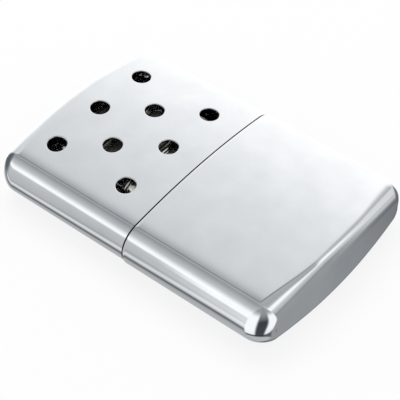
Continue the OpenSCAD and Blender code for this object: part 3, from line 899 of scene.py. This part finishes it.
# Greys of the soft boxes, flags and cards round the case, as (degrees, grey) stops.
# "along" is read over the case's width: 0 is straight up, positive towards the far side. Below
# the strip light the cards stand skew to the case, so their edges run off along its length.
# "end" is read over its length, 0 straight up, positive out past the tank's end, and its strip
# light stands skew too. "card" and "band" stand at the near corner, by elevation.
studio = {
    "along": [(-200, 180), (-145, 170), (-128, 80), (-120, 180), (-112, 218), (-105, 214), (-98, 160),
              (-90, 180), (-60, 194), (-56, 236), (-52, 254), (-46, 250), (-28, 192), (3, 145),
              (12, 168), (17, 95), (20, 206), (38, 224), (58, 255)],
    "skew": (-75, -115, 0.373, 0.533, 24),  # from and to these degrees, over this reach, by so many
    "wideStrip": (-75, -67, -52, -57),  # the strip light is wider towards the tank's end,
    "wideWhere": (0.44, 0.385, 0.2, 0.3),  # over these reaches
    "end": [(-38, 215), (-2, 175), (12, 190), (20, 250), (30, 250), (36, 205), (52, 180), (64, 140),
            (74, 150), (162, 145), (174, 95), (215, 80)],
    "endSkew": (120, 50, 0.50, 0.72, -18),
    # three cards at the end's far side, as (grey, from, to): a veil over the strip light, a light
    # one below it, and a dark one lowest
    "farCards": [(214, (16, 30), (70, 56)), (192, (58, 70), (105, 80)), (104, (85, 125), (270, 250))],
    "farReach": (0.50, 0.78),
    "card": [(-90, 178), (-58, 180), (-56, 110), (-50, 64), (-46, 236), (-30, 248), (38, 248), (54, 186),
             (64, 156), (90, 146)],
    "band": [(-90, 178), (-58, 176), (-54, 50), (-46, 70), (12, 62), (30, 112), (48, 138), (60, 146),
             (90, 146)],
    "backFlag": 95,  # dark flag behind the lid, low on the near side, over these reaches
    "behindLid": (0.76, 0.95), "nearSide": (0.42, 0.15),
    "endFrom": (0.2, -0.1),  # reach over which "end" takes over from "along"
    "corner": (-129, 60, 7), "bandPlace": (-134, 19, 6),  # azimuth, half width, softness
    "crease": [(0.80, 206), (0.90, 196), (0.97, 116), (1.02, 120), (1.10, 172), (1.50, 164), (1.90, 186)],
    # where the flat face mirrors, how far off the line lies, and the reaches of the line's turn
    "creaseAcross": (36.7, -19.7), "creaseEndways": (-30.6, 34.0), "creaseReach": (0.52, 0.44),
}


def rampOf(tree, source, stops, unitOf=math.radians):
    # a ramp that spans its own stops, so that thin lines keep their width
    low, high = stops[0][0], stops[-1][0]
    level = addNode(tree, "MapRange", {"Value": source, "From Min": unitOf(low), "From Max": unitOf(high)})
    return addNode(tree, "ValToRGB", {"stops": [((a - low) / (high - low), greyAt(g)) for a, g in stops],
                                      "Fac": level})


def within(tree, bounds):
    # the product of soft steps, each from 0 at first to 1 at last over its own source
    product = None
    for source, (first, last) in bounds:
        step = addNode(tree, "MapRange", {"interpolation_type": "SMOOTHSTEP", "Value": source,
                                          "From Min": first, "From Max": last})
        product = addNode(tree, "Math", {"operation": "MULTIPLY", 0: product, 1: step}) if product else step
    return product


def sideWindow(tree, heading, place):
    # 1 within half width of an azimuth, from the cosine of the angle to it, whatever the elevation
    azimuth, half, soft = place
    a = math.radians(azimuth)
    facing = addNode(tree, "VectorMath", {"operation": "DOT_PRODUCT", 0: heading,
                                          1: (math.sin(a), math.cos(a), 0)})
    edges = [math.cos(math.radians(edge)) for edge in (half + soft, half - soft)]
    return within(tree, [((facing, "Value"), edges)])


def layOver(tree, factor, first, second):
    # second laid over first by factor, where second is a hex colour or a node's output
    if isinstance(second, str):
        second = linear(second)
    return addNode(tree, "Mix", {"data_type": "RGBA", 0: factor, 6: first, 7: second}), 2


def cornerCrease(tree, across, endways, reach):
    # The dark line between the flat face and its drawn edges turns round the near corner: its
    # distance is the root of the two angles' squares, each as a share of the line's own angle.
    shares = []
    for angle, (middle, away) in ((across, studio["creaseAcross"]), (endways, studio["creaseEndways"])):
        shares.append(addNode(tree, "MapRange", {
            "Value": angle, "From Min": math.radians(middle), "From Max": math.radians(middle + 2 * away),
            "To Max": 2.0}))
    squares = [addNode(tree, "Math", {"operation": "POWER", 0: share, 1: 2.0}) for share in shares]
    both = addNode(tree, "Math", {"operation": "ADD", 0: squares[0], 1: squares[1]})
    distance = addNode(tree, "Math", {"operation": "SQRT", 0: both})
    inside = within(tree, [(shares[0], (0.15, 0.45)), (shares[1], (0.15, 0.45)),
                           (distance, (1.90, 1.60)), (reach, studio["creaseReach"])])
    return inside, rampOf(tree, distance, studio["crease"], float)


def wrappedAngle(tree, first, second, low):
    # the angle of (first, second) from second's axis towards first's, over one turn from low
    angle = addNode(tree, "Math", {"operation": "ARCTAN2", 0: first, 1: second})
    return addNode(tree, "Math", {"operation": "WRAP", 0: angle, 1: math.radians(low + 360),
                                  2: math.radians(low)})


def skewed(tree, angle, reach, form):
    # the angle plus a part that grows with the angle's place between two and with the reach
    begin, full, near, far, most = form
    below = addNode(tree, "MapRange", {"Value": angle, "From Min": math.radians(begin),
                                       "From Max": math.radians(full)})
    offset = addNode(tree, "MapRange", {"Value": reach, "From Min": near, "From Max": far,
                                        "To Max": math.radians(most)})
    return addNode(tree, "Math", {"operation": "MULTIPLY_ADD", 0: below, 1: offset, 2: angle})


def buildWorld():
    # Polished surfaces see the studio: its ramps by angle, laid over one another by place. Matt
    # ones see a plain soft sky, and the camera sees white.
    print("world")
    world = bpy.data.worlds.new("softStudio")
    bpy.context.scene.world = world
    world.use_nodes = True
    tree = world.node_tree
    tree.nodes.clear()
    around = (addNode(tree, "TexCoord"), "Generated")
    axis = addNode(tree, "SeparateXYZ", {"Vector": around})
    sideways, lengthways, upwards = (axis, "X"), (axis, "Y"), (axis, "Z")
    height = addNode(tree, "Math", {"operation": "ARCSINE", 0: upwards})
    across = wrappedAngle(tree, sideways, upwards, -210)
    outward = addNode(tree, "Math", {"operation": "MULTIPLY", 0: lengthways, 1: -1.0})
    endways = wrappedAngle(tree, outward, upwards, -90)
    flat = addNode(tree, "VectorMath", {"operation": "MULTIPLY", 0: around, 1: (1, 1, 0)})
    heading = addNode(tree, "VectorMath", {"operation": "NORMALIZE", 0: flat})

    along = rampOf(tree, skewed(tree, across, lengthways, studio["skew"]), studio["along"])
    end = rampOf(tree, skewed(tree, endways, sideways, studio["endSkew"]), studio["end"])
    for grey, *edges in studio["farCards"]:
        sides = [(endways, [math.radians(angle) for angle in edge]) for edge in edges]
        end = layOver(tree, within(tree, sides + [(sideways, studio["farReach"])]), end, greyAt(grey))
    shade = layOver(tree, within(tree, [(lengthways, studio["endFrom"])]), along, end)

    low, lowFull, high, highFull = [math.radians(angle) for angle in studio["wideStrip"]]
    strip = within(tree, [(across, (low, lowFull)), (across, (high, highFull)),
                          (lengthways, studio["wideWhere"][:2]), (lengthways, studio["wideWhere"][2:])])
    shade = layOver(tree, strip, shade, greyAt(253))
    flagged = within(tree, [(lengthways, studio["behindLid"]), (sideways, studio["nearSide"])])
    shade = layOver(tree, flagged, shade, greyAt(studio["backFlag"]))
    inside, crease = cornerCrease(tree, across, endways, sideways)
    shade = layOver(tree, inside, shade, crease)
    corner = layOver(tree, sideWindow(tree, heading, studio["bandPlace"]),
                     rampOf(tree, height, studio["card"]), rampOf(tree, height, studio["band"]))
    shade = layOver(tree, sideWindow(tree, heading, studio["corner"]), shade, corner)

    # the chrome's own colour takes a little from what it mirrors, which the strength makes up for
    mirrored = addNode(tree, "Background", {"Strength": 1.14, "Color": shade})
    level = addNode(tree, "MapRange", {"Value": upwards, "From Min": -1.0, "From Max": 1.0})
    soft = addNode(tree, "ValToRGB", {"stops": [(0.35, "#c4c6c8"), (0.9, "#f4f5f5")], "Fac": level})
    plain = addNode(tree, "Background", {"Strength": 0.9, "Color": soft})
    white = addNode(tree, "Background", {"Color": (1, 1, 1, 1), "Strength": 1.0})
    path = addNode(tree, "LightPath")
    lit = addNode(tree, "MixShader", {0: (path, "Is Glossy Ray"), 1: plain, 2: mirrored})
    seen = addNode(tree, "MixShader", {0: (path, "Is Camera Ray"), 1: lit, 2: white})
    addNode(tree, "OutputWorld", {"Surface": seen})


def floorMaterial():
    # White paper sweep: to the camera it is white with a soft contact shadow left in it.
    made, tree = newMaterial("whitePaperSweep", cleared=True)
    paper = addNode(tree, "BsdfDiffuse", {"Color": linear("#f2f2f2")})
    glow = addNode(tree, "Emission", {"Color": (1, 1, 1, 1), "Strength": 1.0})
    seen = addNode(tree, "MixShader", {0: 0.82, 1: paper, 2: glow})
    path = addNode(tree, "LightPath")
    whole = addNode(tree, "MixShader", {0: (path, "Is Camera Ray"), 1: paper, 2: seen})
    addNode(tree, "OutputMaterial", {"Surface": whole})
    return made


def buildStage():
    # The floor, and one soft lamp that faces the case from above and behind.
    print("stage")
    reach = 3.0
    corners = [(-reach, -reach, 0), (reach, -reach, 0), (reach, reach, 0), (-reach, reach, 0)]
    mesh = bpy.data.meshes.new("floor")
    mesh.from_pydata(corners, [], [(0, 1, 2, 3)])
    floor = bpy.data.objects.new("floor", mesh)
    bpy.context.scene.collection.objects.link(floor)
    mesh.materials.append(floorMaterial())
    floor.visible_glossy = False  # the case mirrors the lower half of the studio instead
    lamp = bpy.data.lights.new("softLamp", "AREA")
    lamp.shape = "RECTANGLE"
    lamp.size, lamp.size_y = 0.9, 0.7
    lamp.energy = 4.5
    holder = bpy.data.objects.new("softLamp", lamp)
    bpy.context.scene.collection.objects.link(holder)
    holder.location = (0.25, 0.35, 1.0)
    holder.rotation_euler = holder.location.to_track_quat("Z", "Y").to_euler()
    holder.visible_glossy = False


# The photograph's camera, in millimetres and degrees, aimed near the middle of the case
cameraForm = {"azimuth": -51.53, "elevation": 46.408, "roll": 0.611, "distance": 413.876,
              "focalPixels": 1481.03, "right": 0.078, "up": -3.864, "imageSize": 400, "sensor": 36.0}


def buildCamera():
    # The camera stands off the middle of the case along its azimuth and elevation, rolled and then
    # moved right and up. Its lens is the focal length in pixels times the sensor per pixel.
    form = cameraForm
    a, e, roll = [math.radians(form[k]) for k in ("azimuth", "elevation", "roll")]
    back = Vector((math.sin(a) * math.cos(e), -math.cos(a) * math.cos(e), math.sin(e)))
    level = Vector((math.cos(a), math.sin(a), 0))
    above = back.cross(level)
    right = level * math.cos(roll) + above * math.sin(roll)
    up = above * math.cos(roll) - level * math.sin(roll)
    centre = Vector((0, 0, midZ))
    spot = centre + back * form["distance"] + right * form["right"] + up * form["up"]
    data = bpy.data.cameras.new("camera")
    data.sensor_width = form["sensor"]
    data.lens = form["focalPixels"] / form["imageSize"] * form["sensor"]
    data.clip_start, data.clip_end = 0.01, 20
    camera = bpy.data.objects.new("camera", data)
    bpy.context.scene.collection.objects.link(camera)
    turn = Matrix((right, up, back)).transposed().to_4x4()
    camera.matrix_world = Matrix.Translation(spot * mm) @ turn
    bpy.context.scene.camera = camera


buildCamera()
buildWorld()
buildStage()
bpy.context.scene.view_settings.view_transform = "Standard"

chrome = chromePlate()
burnerNickel = bareSheet("brightNickel", "#eae8e4", "#c9c6bf", 0.14, 0)
tinplate = bareSheet("satinTinplate", "#d2d1cc", "#a9a79f", 0.3, 1)
glassFibre = fibreMaterial("platinisedGlassFibre", "#5a5854", "#2b2a28", 0.06)
looseFibre = fibreMaterial("looseGlassFibre", "#7d7b76", "#3a3936", 0.05, 0.5)
cottonWool = fibreMaterial("packedCotton", "#f1eee4", "#d4cebf", 0.08, 0.95, 0.4)
felt = fibreMaterial("pressedFelt", "#c9c1ae", "#a1988a", 0.05, 0.95, 0.3)

lid = makePiece("lidShell", buildLid(), chrome, "lid", "lid_shell")
tank = makePiece("tankShell", buildTank(), chrome, "tank", "tank_shell")
top = makePiece("tankTop", buildTop(), tinplate, "tank", "tank_top")
neck = makePiece("fillerNeck", buildNeck(), tinplate, "tank", "filler_neck")
skirt = makePiece("burnerSkirt", buildSkirt(), burnerNickel, "burner", "burner_skirt")
head = makePiece("burnerHead", buildHead(), burnerNickel, "burner", "burner_head")
tray = makePiece("matTray", crispCopy("mat_tray", "matTray"), burnerNickel, "burner",
                 "mat_tray")
cap = makePiece("burnerCap", crispCopy("burner_cap", "burnerCap"), burnerNickel, "burner",
                "burner_cap")
for plate in (tray, cap):
    easeEdges(plate, 0.08)
mat = makePiece("catalystMat", buildMat(), glassFibre, "burner", "catalyst_mat")
fibres = makePiece("matFibres", buildFibres(), looseFibre, "burner")
wick = makePiece("neckWick", makeMesh("neckWick", [pad(wickLow, wickHigh, wickForm)]), felt, "tank",
                 "neck_wick")
cotton = makePiece("cottonPacking", buildCotton(), cottonWool, "tank", "cotton_packing")
